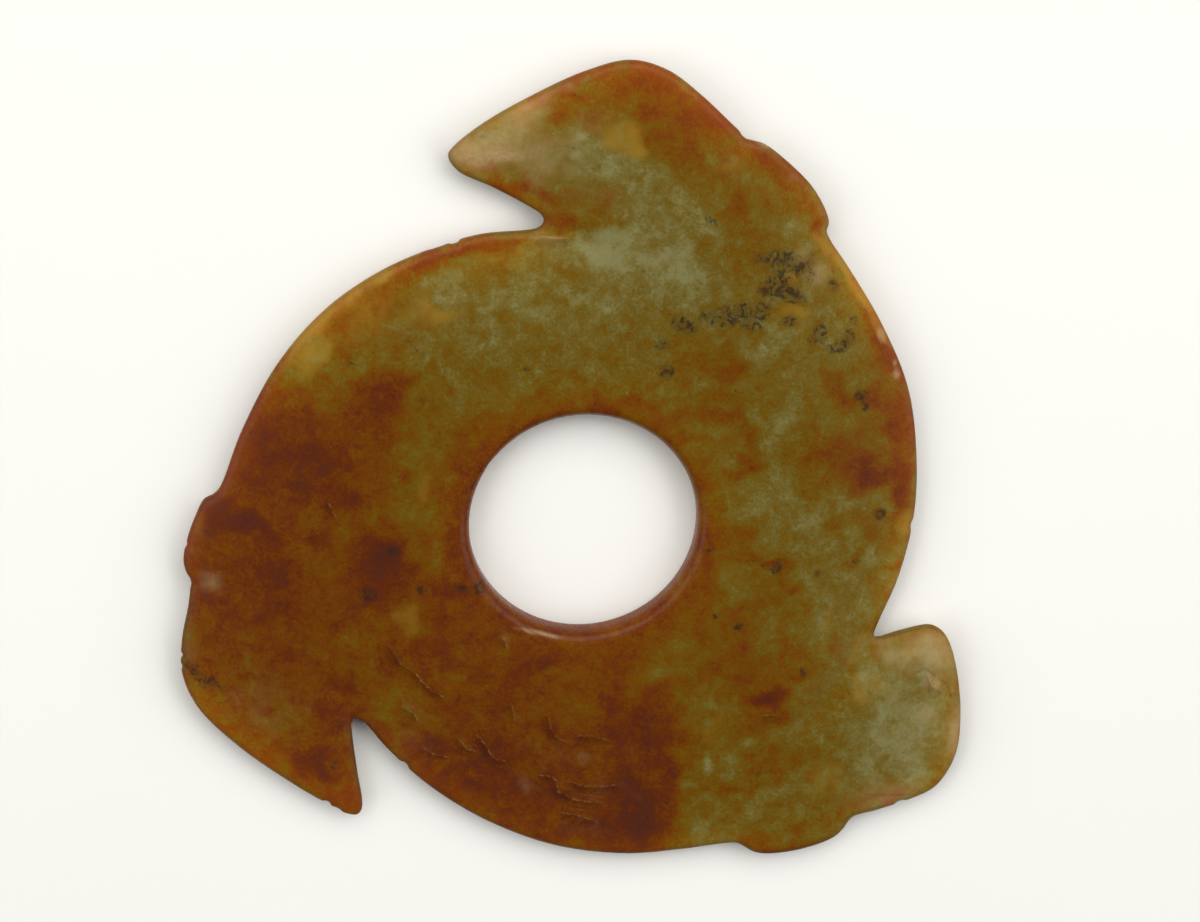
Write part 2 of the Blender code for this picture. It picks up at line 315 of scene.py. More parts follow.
# The edges of the flakes lost from the face, and short pale bruises, as lines in the part's frame.
# The lost side lies to the right of each line as it runs.
FLAKE_EDGES = (
    ((-0.0300, -0.0268), (-0.0284, -0.0297), (-0.0260, -0.0314), (-0.0249, -0.0331),
     (-0.0234, -0.0345), (-0.0218, -0.0355)),
    ((-0.0276, -0.0378), (-0.0262, -0.0386), (-0.0257, -0.0399)),
    ((-0.0247, -0.0449), (-0.0232, -0.0460), (-0.0212, -0.0464)),
    ((-0.0188, -0.0436), (-0.0179, -0.0449), (-0.0168, -0.0453)),
    ((-0.0160, -0.0428), (-0.0150, -0.0440), (-0.0142, -0.0457), (-0.0132, -0.0469), (-0.0118, -0.0472)),
    ((-0.0060, -0.0499), (-0.0042, -0.0501), (-0.0033, -0.0510), (-0.0032, -0.0529), (-0.0017, -0.0537),
     (-0.0004, -0.0545), (0.0016, -0.0549), (0.0036, -0.0551)),
    ((-0.0012, -0.0512), (0.0008, -0.0520), (0.0038, -0.0522), (0.0062, -0.0519)),
    ((-0.0048, -0.0397), (-0.0044, -0.0416), (-0.0035, -0.0431), (-0.0022, -0.0438)),
    ((0.0002, -0.0429), (0.0022, -0.0430), (0.0046, -0.0438)),
    ((-0.0018, -0.0570), (0.0004, -0.0575), (0.0028, -0.0585)),
    ((-0.0107, -0.0375), (-0.0103, -0.0393)),
    ((-0.0121, -0.0258), (-0.0116, -0.0270)),
    ((0.0566, -0.0345), (0.0574, -0.0364), (0.0590, -0.0373)),
    ((-0.0428, -0.0079), (-0.0412, -0.0076)),
    ((-0.0392, -0.0028), (-0.0384, -0.0045)),
    ((0.0298, -0.0402), (0.0316, -0.0402)),
    ((-0.0068, 0.0391), (-0.0050, 0.0389), (-0.0030, 0.0389)),
)
# Healed cracks, dark with iron
VEINS = (
    ((0.0480, -0.0554), (0.0505, -0.0556), (0.0544, -0.0556)),
    ((0.0546, -0.0340), (0.0562, -0.0331), (0.0584, -0.0349), (0.0600, -0.0362), (0.0608, -0.0384)),
    ((0.0255, -0.0134), (0.0278, -0.0135), (0.0294, -0.0149), (0.0312, -0.0152)),
    ((-0.0272, 0.0240), (-0.0262, 0.0224), (-0.0248, 0.0214)),
    ((0.0288, -0.0505), (0.0310, -0.0503)),
    ((-0.0628, -0.0290), (-0.0612, -0.0308), (-0.0596, -0.0318)),
)


def line_fields(points, lines):
    """Tell where each point lies from the nearest of a set of lines, and how much of a line is near.

    The first field is the distance, counted above 0 to the left of the line and below 0 to its
    right, and past an end it is counted from the line run on straight. The second is 1 by a line
    and falls to 0 by 1.8 mm from it, and over 0.5 mm past an end.
    """
    starts = np.array([start for line in lines for start in line[:-1]])
    ends = np.array([end for line in lines for end in line[1:]])
    first = np.concatenate([np.arange(len(line) - 1) == 0 for line in lines])
    last = np.concatenate([np.arange(len(line) - 1) == len(line) - 2 for line in lines])
    gap, which = distance_to(points, starts, ends)
    run = (ends - starts)[which]
    length = np.linalg.norm(run, axis=1)
    offset = points - starts[which]
    side = (run[:, 0] * offset[:, 1] - run[:, 1] * offset[:, 0]) / length
    along = (run * offset).sum(axis=1) / length
    before, beyond = np.clip(-along, 0, None) * first[which], np.clip(along - length, 0, None) * last[which]
    past = before + beyond
    signed = np.where(past > 0, side, np.sign(side) * gap)
    near = (1 - smooth_step(gap, 0.0012, 0.0018)) * (1 - smooth_step(past, 0, 0.0005))
    return np.clip(signed, -0.002, 0.002), near


def skin_of_stone():
    """Work out the whole skin: its places, how deep each lies inside the rim and the hole, which
    rows are under the stone, and the centre of the hole.
    """
    low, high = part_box("jade_disc")
    knots = closed_curve(laid_flat(OUTLINE), 20)
    middle = (np.array(low[:2]) + np.array(high[:2]) - knots.min(axis=0) - knots.max(axis=0)) / 2
    half_middle = (high[2] - low[2]) / 2
    plan, is_under, edge = plan_of_skin(middle)
    after = np.roll(edge, -1, axis=0)
    length = np.linalg.norm(after - np.roll(edge, 1, axis=0), axis=1) / 2
    starts, ends = (polar(row) for row in zip(*HOLLOWS))
    from_rim, soft, hollow = (np.empty(plan.shape[:2]) for _ in range(3))
    for row, points in enumerate(plan):
        from_rim[row] = distance_to(points, edge, after)[0]
        gap = np.linalg.norm(points[:, None] - edge, axis=2)
        near_edge = (np.exp(-gap / RIDGE_BLEND) * length).sum(axis=1) / (2 * RIDGE_BLEND)
        soft[row] = -RIDGE_BLEND * np.log(near_edge)
        hollow[row] = HOLLOW_DEPTH * np.exp(-(distance_to(points, starts, ends)[0] / HOLLOW_WIDTH) ** 2)
    from_hole = np.linalg.norm(plan, axis=2) - HOLE_RADIUS
    inwards = np.clip(soft / TAPER_WIDTH, 0, 1)
    taper = RIM_THICKNESS / 2 + (half_middle - RIM_THICKNESS / 2) * inwards * (2 - inwards)
    level = smooth_step(from_hole, HOLE_LIP + FLAT_WIDTH, HOLE_LIP + FLAT_WIDTH + TAPER_WIDTH)
    face = half_middle * (1 - level) + taper * level - hollow * np.clip(level * 4, 0, 1)
    placed = plan + middle
    face = face + GRINDING_DEPTH * np.where(is_under[:, None], grinding(placed, 5), grinding(placed, 2))
    side, near = line_fields(placed.reshape(-1, 2), FLAKE_EDGES)
    lost = (1 - smooth_step(side, -0.0003, 0.0003)) * near * np.exp(-np.abs(side) / 0.0012)
    face = face - FLAKE_DEPTH * lost.reshape(face.shape) * ~is_under[:, None]
    rim = RIM_LAND / 2 + (face - RIM_LAND / 2) * rounded(from_rim, RIM_ROUND)
    hole = HOLE_WALL / 2 + (face - HOLE_WALL / 2) * rounded(from_hole, HOLE_LIP)
    height = half_middle + low[2] + np.minimum(rim, hole) * np.where(is_under, -1, 1)[:, None]
    centre = Vector((*middle, half_middle + low[2]))
    places = np.concatenate([placed, height[:, :, None]], axis=2)
    return places, from_rim, from_hole, is_under, centre


def closed_skin(name, places):
    """Join a grid of places into one closed skin, whose rows and columns both run back round."""
    at = np.arange(places.shape[0] * places.shape[1]).reshape(places.shape[:2])
    after = np.roll(at, -1, axis=0)
    quads = np.stack([at, after, np.roll(after, -1, axis=1), np.roll(at, -1, axis=1)], axis=-1)
    mesh = bpy.data.meshes.new(name)
    mesh.from_pydata(places.reshape(-1, 3).tolist(), [], quads.reshape(-1, 4).tolist())
    mesh.update()
    mesh.shade_smooth()
    return mesh


BARE_LEVEL = 0.32               # how stained the stone is where no patch lies
FADED_LEVEL = 0.34              # what the patches fade towards under the stone
RING_LEVEL = 0.74               # the red ring round the hole
RING_WIDTH = 0.0030
RING_STRENGTH, RING_SLANT = 0.76, 0.24  # its strength, and how much less it is to the upper right
RING_SLANT_REACH = 0.026        # X and Y together, from the centre of the hole to where it is least
UNDER_SPREAD, UNDER_FADE = 0.4, 0.35    # how much wider and weaker the patches are under the stone
UNDER_REACH = 0.006             # how far inside the edges that is so in full
WANDER_REACH, WANDER_LENGTH = 0.0012, 0.006     # how far the patches' edges stray, in what waves
FIELD_REACH = 0.02              # past which the distances from rim and hole aren't told apart

# How stained the upper face is, painted on in order, broad patches first. A row is X, Y, half length,
# half width in millimetres, degrees turned, the level it brings and how fully. The levels run from
# 0, pale grey-green, by 0.3 olive, 0.6 orange-brown and 0.8 dark red to 1, maroon.
STAINS = (
    # the stained lower left half
    (-44, 2, 14, 12, 10, 0.63, 1), (-50, -18, 13, 26, 0, 0.67, 1), (-40, -38, 14, 17, -35, 0.60, 1),
    (-20, -36, 17, 18, -10, 0.64, 1), (-7, -49, 20, 15, -15, 0.66, 1), (8, -51, 9, 16, 0, 0.72, 1),
    (-22, -22, 9, 10, 40, 0.62, 1), (-33, -8, 8, 12, 0, 0.62, 0.9), (-19, 0, 5, 11, 0, 0.56, 0.9),
    # the brown lower right and the red round the hole
    (24, -28, 14, 13, 10, 0.45, 0.8), (9, -30, 13, 6, 12, 0.64, 0.95),
    (17.5, -20, 5, 8, -35, 0.60, 0.9), (-15, -19, 5, 9, 40, 0.69, 0.9),
    (-17.5, -3, 3.5, 11, -8, 0.62, 0.8), (-10, 9.5, 9, 3, 35, 0.58, 0.7),
    (6, 12.5, 10, 3, -15, 0.52, 0.6), (20, -2, 3, 9, 0, 0.46, 0.6),
    # the top wing
    (1, 63, 11, 3.4, 8, 0.57, 1), (13, 59, 11, 5, -38, 0.61, 1), (20.5, 56, 6, 3, -38, 0.68, 0.9),
    (9, 58.5, 5, 1.4, -50, 0.62, 0.6), (-2, 58, 5, 4, 20, 0.44, 0.7), (-4, 61, 5, 2, 22, 0.56, 0.8),
    (15, 53, 9, 4, -28, 0.55, 0.95), (-2, 53.5, 3, 2, 60, 0.10, 0.9), (3, 49.5, 6, 2.2, -8, 0.04, 0.9),
    (2, 52.6, 3, 2, 0, 0.06, 0.8), (-14, 53.5, 6, 3.5, 25, 0.14, 0.9), (-7, 50, 3, 3, 0, 0.26, 0.7),
    (-11, 47.2, 9, 1.4, -28, 0.60, 0.9), (-3.5, 43.5, 5, 2.6, -15, 0.57, 0.9),
    (1, 41.6, 6, 1.2, -2, 0.50, 0.6), (2.6, 45.6, 2.0, 1.2, -20, 0.54, 0.6),
    (-7, 45, 2, 1, -28, 0.66, 0.6), (6, 46.4, 1.6, 0.6, -25, 0.60, 0.6),
    (10, 46.5, 6, 3.5, -40, 0.13, 0.9), (15, 41.5, 6, 4, -20, 0.17, 0.8),
    (21.5, 50.5, 5, 2.6, -25, 0.29, 0.95), (28.5, 51.0, 6, 2.4, -33, 0.62, 1),
    (28, 49.4, 3.6, 1.2, -30, 0.70, 0.8), (33, 46.5, 4, 1.8, -55, 0.56, 0.8),
    (24, 43, 6.5, 2.8, -70, 0.60, 1), (30, 44.5, 4, 3.4, -40, 0.50, 0.8),
    (36.4, 41, 1.3, 2.2, -10, 0.70, 0.8), (28, 40, 4, 3, 0, 0.36, 0.6), (19, 46, 3, 2, 0, 0.24, 0.6),
    # the pale stone under the top notch, and the olive round it
    (3, 37, 6, 2.6, 0, 0.00, 1), (10.5, 35.3, 7, 4, -30, -0.03, 1), (15, 32, 5, 3, -40, 0.06, 0.9),
    (4, 31.5, 8, 3.6, 0, 0.14, 0.8), (-7, 31, 4, 6, 0, 0.16, 0.8), (-12, 27, 6, 5, 0, 0.24, 0.6),
    (-5, 38, 4, 1.4, 0, 0.36, 0.7), (-1, 26, 9, 3.5, 0, 0.18, 0.7), (8, 26, 2, 4, 0, 0.42, 0.6),
    (12.5, 27, 3, 7, 10, 0.38, 0.6), (-3.5, 30, 1.8, 1.4, 0, 0.46, 0.5),
    (-4.5, 23, 1.6, 3.0, 10, 0.50, 0.6), (-11, 25.5, 2, 1.4, 0, 0.48, 0.5),
    (0, 21, 3, 2.4, 0, 0.26, 0.5), (28, 21.4, 5, 2.8, 0, 0.20, 0.85), (22, 30, 6, 3, 0, 0.22, 0.7),
    (30, 34, 6, 5, 0, 0.33, 0.6),
    # the upper left arc
    (-14, 37.8, 4, 2.0, 8, 0.60, 0.95), (-21, 37.2, 6, 1.6, 20, 0.78, 1),
    (-23.5, 34.2, 5, 1.8, 20, 0.57, 0.8), (-32, 29, 8, 3.4, 36, 0.49, 0.9),
    (-36.5, 24.5, 2.6, 4.5, -8, 0.54, 0.8), (-20.5, 31, 3.2, 2, 0, 0.16, 0.9),
    (-16.5, 26.5, 3, 5, -20, 0.27, 0.8), (-24, 27, 4, 3.4, 0, 0.28, 0.7),
    (-41.5, 20.5, 4, 2.6, 40, 0.30, 0.9), (-9, 34, 4, 2.4, 0, 0.33, 0.5),
    (-29, 22, 3, 2.4, 0, 0.38, 0.6), (-18, 19, 5, 3, 0, 0.36, 0.5),
    # the red upper left
    (-43, 6.4, 11, 7.4, 0, 0.80, 0.9), (-51, 8, 5, 9, -25, 0.84, 0.95),
    (-31, 13.8, 4.2, 4.6, 20, 0.82, 0.9), (-37, 10, 8, 2.6, 10, 0.68, 0.6),
    (-43.5, 4, 5, 2.8, 0, 0.84, 0.7), (-42, 14, 5, 2.2, 10, 0.52, 0.8),
    (-27.6, 17, 2.6, 2.6, 20, 0.70, 0.9), (-46.5, 14.4, 3.4, 2.4, 40, 0.44, 0.8),
    (-53, 6, 3, 9, -25, 0.77, 0.9), (-32.5, 2, 5, 3.6, 0, 0.60, 0.9), (-37, -1.5, 4, 1.8, 0, 0.86, 0.8),
    (-24, 3, 3.2, 8, -4, 0.42, 1), (-28, -4.6, 9, 3.6, 8, 0.44, 0.9), (-37, -7.6, 4, 2.2, 0, 0.48, 0.8),
    (-26.4, -2, 3.4, 2.2, 0, 0.38, 0.8), (-17.5, 3, 2.6, 6, -20, 0.66, 0.8),
    (-21.5, -1.5, 2, 2.6, 0, 0.40, 0.8), (-18.5, -9, 2.4, 6, 8, 0.72, 0.8),
    (-30, 8.5, 2.4, 2.4, 0, 0.66, 0.6), (-25, 12, 3, 3, 0, 0.44, 0.6),
    # the left wing
    (-41, -10, 3.0, 4, -4, 0.62, 0.8), (-38, -20, 6, 4, 0, 0.70, 0.7),
    (-30.6, -11.8, 5, 4.2, 0, 0.97, 1), (-32, -17.3, 3.8, 4, 0, 0.84, 0.9),
    (-29.2, -11, 2.4, 1.8, 0, 1.00, 0.8), (-33, -17.6, 2, 1.4, 0, 1.00, 0.6),
    (-20, -17.2, 2.4, 1.8, -45, 0.88, 0.7), (-24.8, -16.8, 1.4, 1.4, 0, 0.84, 0.7),
    (-24.4, -11, 2, 3, 0, 0.50, 0.7), (-27.5, -23, 3.2, 3.4, 0, 0.54, 0.9),
    (-54, -5, 8, 2.2, -20, 1.00, 0.95), (-59.5, -10.5, 3, 4.5, 0, 0.82, 0.9),
    (-47.5, -14, 3.4, 6, 0, 0.84, 0.8), (-51, -21, 5, 3, 0, 0.80, 0.7), (-52, -11, 3, 2, 0, 0.66, 0.6),
    (-59.5, -16, 3.5, 7, 0, 0.72, 0.9), (-57, -22, 3, 4, 0, 0.66, 0.7), (-49, -27, 8, 3, 0, 0.66, 0.7),
    (-60, -28, 3, 4, 0, 0.68, 0.7), (-54, -36, 5, 6, -42, 0.56, 0.9), (-45, -33, 4, 4, 0, 0.60, 0.7),
    (-47.5, -39.5, 3, 2.4, -40, 0.50, 0.7), (-39.4, -35, 2, 6, -8, 0.82, 0.8),
    (-38, -40, 2.6, 2.6, 0, 0.86, 0.8), (-42, -47.8, 5, 1.9, -30, 1.02, 0.9),
    (-46, -44.5, 4, 1.4, -40, 0.60, 0.6), (-38, -53.5, 3, 2.4, -50, 0.70, 0.9),
    (-53, -31, 3, 1.4, 0, 0.90, 0.4),
    # from the left notch to the dark foot
    (-30, -30, 5, 3, -30, 0.70, 0.7), (-28, -37.5, 5, 3.6, -45, 0.42, 0.85),
    (-33, -33, 3, 3, 0, 0.56, 0.6), (-22, -29, 5, 2.4, -30, 0.74, 0.6),
    (-16, -25.5, 6, 3, -35, 0.64, 0.7), (-12, -33, 5, 4, 0, 0.66, 0.7),
    (-23, -45, 5, 2, -12, 0.84, 0.7), (-15, -44.5, 2.8, 2.6, 0, 0.90, 0.6),
    (-17, -39, 4, 3, 0, 0.72, 0.7), (-20, -33, 3, 1.6, -35, 0.50, 0.7),
    (-13, -51.5, 9, 4, -20, 0.90, 0.8), (-21, -52, 5, 1.6, -38, 0.76, 0.8),
    (-10, -46.5, 4, 2.4, 0, 0.72, 0.7), (-5, -29.5, 6, 2.6, 0, 0.84, 0.7),
    (-6, -31.4, 2, 1, 0, 1.00, 0.6), (1, -34, 5, 2.4, 0, 0.64, 0.8), (0, -38, 5, 2.6, 0, 0.52, 0.9),
    (1, -45.5, 6, 3.6, 0, 0.63, 0.9), (9.5, -41, 4.4, 5, 0, 0.84, 0.9),
    (-2, -52.5, 4, 1.6, 0, 0.98, 0.7), (6, -51, 5, 2.2, -5, 0.66, 0.7),
    (9.5, -57.5, 4.6, 7, 0, 1.00, 0.95), (0, -60, 6, 2.6, 0, 0.88, 0.8),
    (-7, -59.5, 6, 1.8, -15, 0.76, 0.8), (14.6, -50, 2, 9, 0, 0.76, 0.9),
    (14.5, -61, 2.5, 3.5, 0, 0.74, 0.8), (1, -29, 5, 1.6, 5, 0.60, 0.7),
    (3.5, -37.6, 2, 1.6, 0, 0.92, 0.6),
    # the lower right
    (13, -31.5, 4.5, 2.6, 20, 0.24, 0.9), (21, -25, 6, 6, 0, 0.51, 0.95),
    (26, -32, 9, 5, -20, 0.54, 0.95), (14.5, -37, 3.6, 2.2, 0, 0.60, 0.9),
    (30.8, -38, 3.2, 2.6, 0, 0.82, 1), (29, -42, 3, 1.4, 0, 0.64, 0.7), (35, -33, 3, 3, 0, 0.54, 0.7),
    (20.5, -43, 2.6, 5, 0, 0.41, 0.9), (21.3, -49, 1.4, 3, 5, 0.08, 0.9),
    (26, -45.5, 1.4, 3, -20, 0.18, 0.8), (27, -53, 6.5, 1.8, 0, 0.54, 0.9),
    (32, -48, 6, 3, 10, 0.50, 0.8), (21, -60, 4, 3, 0, 0.24, 0.9), (30, -59, 6, 2.6, 0, 0.30, 0.7),
    (34, -65.2, 7, 2.4, 4, 0.72, 1), (17.8, -52, 1.2, 9, 0, 0.42, 0.8), (38, -50, 5, 4, 0, 0.34, 0.7),
    (24, -38.5, 3, 2, 0, 0.46, 0.6), (17, -28, 3, 2, 0, 0.40, 0.6), (31, -26, 4, 3, 0, 0.36, 0.6),
    (38, -38, 4, 4, 0, 0.30, 0.7),
    # the right wing
    (53, -44, 7.5, 8, -20, 0.06, 1), (56, -53, 5, 3, 0, 0.10, 0.9), (50, -36, 5, 3.6, 0, 0.10, 0.9),
    (56, -31, 6, 2.6, -10, 0.08, 0.95), (43, -33, 1.6, 5, -38, 0.34, 0.7),
    (62, -52, 1.4, 5, -28, 0.54, 0.9), (53, -56, 5, 1.3, 14, 0.54, 0.9),
    (44, -58, 3.6, 2.4, 20, 0.42, 0.8), (41, -63, 3, 1.6, 20, 0.52, 0.8),
    (62.5, -41, 1.2, 6, 3, 0.42, 0.8), (51, -50, 2, 1.6, 0, 0.24, 0.6), (47, -48, 3, 3, 0, 0.16, 0.7),
    # the right arc
    (20, 18.4, 6, 2.6, 0, 0.48, 0.85), (23.4, 19.6, 2, 1.6, 0, 0.58, 0.7),
    (20, 13.4, 2.8, 2, 0, 0.62, 0.8), (15, 7.7, 3, 2, -30, 0.68, 0.9), (5, 13.2, 8, 1.8, 0, 0.60, 0.8),
    (24.6, 8.4, 7, 2.4, -68, 0.56, 0.95), (26.4, 1.8, 2.6, 1.8, -10, 0.70, 0.9),
    (20.2, 5, 2.4, 3.4, 0, 0.36, 0.9), (31, 8, 2.4, 8, 0, 0.20, 0.95), (32, -3, 4.4, 5, 0, 0.22, 0.9),
    (37.5, -11, 4.6, 7, -15, 0.24, 0.8), (40, -20, 3.6, 7, -8, 0.22, 0.8),
    (38.6, 4.2, 5.6, 4.4, 0, 0.58, 1), (43, 1.5, 2, 3, 0, 0.44, 0.6),
    (41.5, 13.6, 6, 1.7, -32, 0.59, 0.95), (47.6, 12.4, 3.6, 5, 0, 0.60, 0.9),
    (44, 17, 4, 5, 20, 0.44, 0.7), (43, 29, 11, 2.4, -58, 0.44, 0.8), (49, 16, 9, 2.6, -72, 0.58, 0.8),
    (40.4, 11, 2.6, 1.4, -20, 0.42, 0.8), (39.2, 18.6, 3.2, 2.2, 0, 0.20, 0.9),
    (34, 15, 3, 2, 0, 0.30, 0.7), (47.0, 0.2, 5.4, 3.4, -4, 0.80, 1), (51.4, -3, 1.8, 3.8, -8, 0.80, 1),
    (50.6, 8.6, 1.8, 6, 8, 0.68, 0.95), (47.4, 20.4, 1.4, 4.4, 25, 0.80, 0.95),
    (45.6, -8, 4.4, 2.4, -20, 0.52, 0.9), (51, -12, 1.6, 5, -10, 0.40, 0.8),
    (43.6, -14, 1.8, 1.3, 0, 0.60, 0.8), (30.4, -15, 2.4, 1.3, -15, 0.80, 0.95),
    (34.6, -18, 2, 1.3, -20, 0.62, 0.8), (20, -12, 1.4, 2.8, 0, 0.78, 0.8),
    (25.6, -11.4, 5.4, 2.4, -20, 0.52, 0.9), (24.4, -17, 2.6, 2.4, 0, 0.32, 0.8),
    (28, -21, 4.4, 2.2, 0, 0.48, 0.8), (36, -2, 2.4, 1.4, 0, 0.48, 0.6),
    (43.6, -4, 3, 1.6, 0, 0.28, 0.7), (36, -25, 3.4, 2.4, 0, 0.30, 0.6),
    (21.6, -6, 2, 2.6, 0, 0.46, 0.7), (28, 26, 5, 2, 0, 0.24, 0.7),
)
# Yellow ochre over the stains: X, Y, half length, half width, degrees turned and strength, as above
YELLOWS = (
    (7, 52.8, 2.8, 2, -25, 0.8), (6.2, 54.6, 2.6, 1.6, 10, 0.5), (-34, 32, 8, 1.8, 36, 0.8),
    (-43, 25, 7, 2.2, 47, 0.9), (-48, 18, 4, 1.4, 58, 0.7), (-33, 27, 6, 3, 40, 0.45),
    (-12, 35.6, 6, 1.8, 5, 0.4), (53, -31, 3, 2, 0, 0.6), (-22.5, 27.6, 5, 3, 0, 0.7),
    (-40.5, 21, 4.5, 2.6, 40, 0.6), (42.5, 31.5, 9, 1.5, -57, 1), (48.2, 21.5, 3, 0.8, -64, 0.5),
    (32, 27, 3, 1.2, -10, 0.7), (31.6, 33, 1.8, 1.5, 0, 0.8), (47.6, -36, 3, 3.6, 50, 0.5),
    (44.4, -29, 1.6, 5, -25, 0.4), (52, -8.5, 1.3, 6, 4, 0.55), (50, -19, 1.3, 6, -14, 0.6),
    (41, -52, 4, 3.6, 0, 0.4), (-24, 0, 2.6, 4, 0, 0.5), (-27, -22, 2.4, 2.6, 0, 0.5),
    (22, 50.4, 3, 1.6, 0, 0.5), (-9, 59.6, 5, 1.4, 27, 0.6), (-4, 39, 4, 1, 0, 0.6),
    (-29, -6, 4, 1.6, 0, 0.15), (-43, -12, 2, 3.6, 0, 0.15), (36, 38, 2.4, 1.2, -50, 0.6),
    (22, -43, 2, 4, 0, 0.4), (40, -24, 1.6, 4, 0, 0.4), (34, 24, 3, 2, 0, 0.4),
    (3, 57.4, 2.4, 2.4, 0, 0.4),
)
# Bleached stone and pale grey bloom, and a few painted highlights: glints along the top notch,
# on the nib and on the hole's lower lip, as above
BLEACHES_AND_GLINTS = (
    (-14.6, 52.8, 6, 3.4, 24, 0.65), (-18.4, 52.8, 2.4, 2.2, 20, 0.7), (-12.8, 51.9, 3, 0.9, 0, 0.9),
    (-17, 51, 2, 0.7, -20, 0.6), (-9, 58.4, 3.4, 1.8, 28, 0.7), (-4, 61.8, 4.5, 1.2, 22, 0.3),
    (-7, 51, 3, 3, 0, 0.35), (36, 33, 2.2, 2.4, 0, 0.5), (33, 36, 1.8, 1.4, 0, 0.5),
    (46.4, 23, 0.8, 1.4, 25, 0.9), (49.1, 16.6, 0.7, 0.8, 0, 0.9), (48.8, 18.4, 0.4, 0.6, 0, 0.9),
    (57.4, -35.8, 1.8, 0.9, -45, 0.9), (58.5, -30.5, 4, 2.6, -60, 0.6), (56.5, -28.2, 3, 1.2, 0, 0.6),
    (-57.8, -15.6, 2, 2.2, 20, 0.5), (-59.6, -9, 2.4, 4, 0, 0.16), (-61, -27, 1.8, 3, 0, 0.18),
    # the first two patches on this line and the first on the next are painted highlights: glints along the
    # top notch, on the nib and on the hole's lower lip
    (-5.5, 38.9, 3, 0.4, -2, 0.7), (27, 53.2, 2.2, 0.5, -22, 0.7), (57, -41, 3, 1, -30, 0.4),
    (-6.5, -25, 4.5, 0.35, -16, 0.8), (0.7, -46.5, 1, 1.1, 0, 0.25), (-55.4, 1, 2, 5, -28, 0.12),
    (54, -45, 9, 14, -15, 0.20), (-4, 50, 7, 7, 0, 0.24), (0, 57, 6, 3, 20, 0.16),
    (49, -55, 7, 3, 10, 0.2), (22, 50, 4, 3, -30, 0.16), (-50, -36, 9, 6, -40, 0.2),
    (-2, -50, 16, 8, -12, 0.10), (-27, -44, 5, 4, -45, 0.16), (-26, 27, 9, 4, 25, 0.14),
    (4, 45, 4, 3, 0, 0.2), (1, -60, 4, 2, 0, 0.14), (-8, -51.6, 1.4, 1.6, 0, 0.2),
    (37.2, 43.6, 1.2, 2.4, 10, 0.4), (31.2, 48.2, 0.9, 1.2, 40, 0.3), (-27, -37, 3.4, 2.2, -45, 0.16),
    (-12, -25.4, 1, 1.6, 20, 0.3), (62.2, -45, 1.4, 5, 0, 0.7), (53, -31, 6, 3, -8, 0.4),
    (52, -56, 6, 2, 14, 0.3),
)
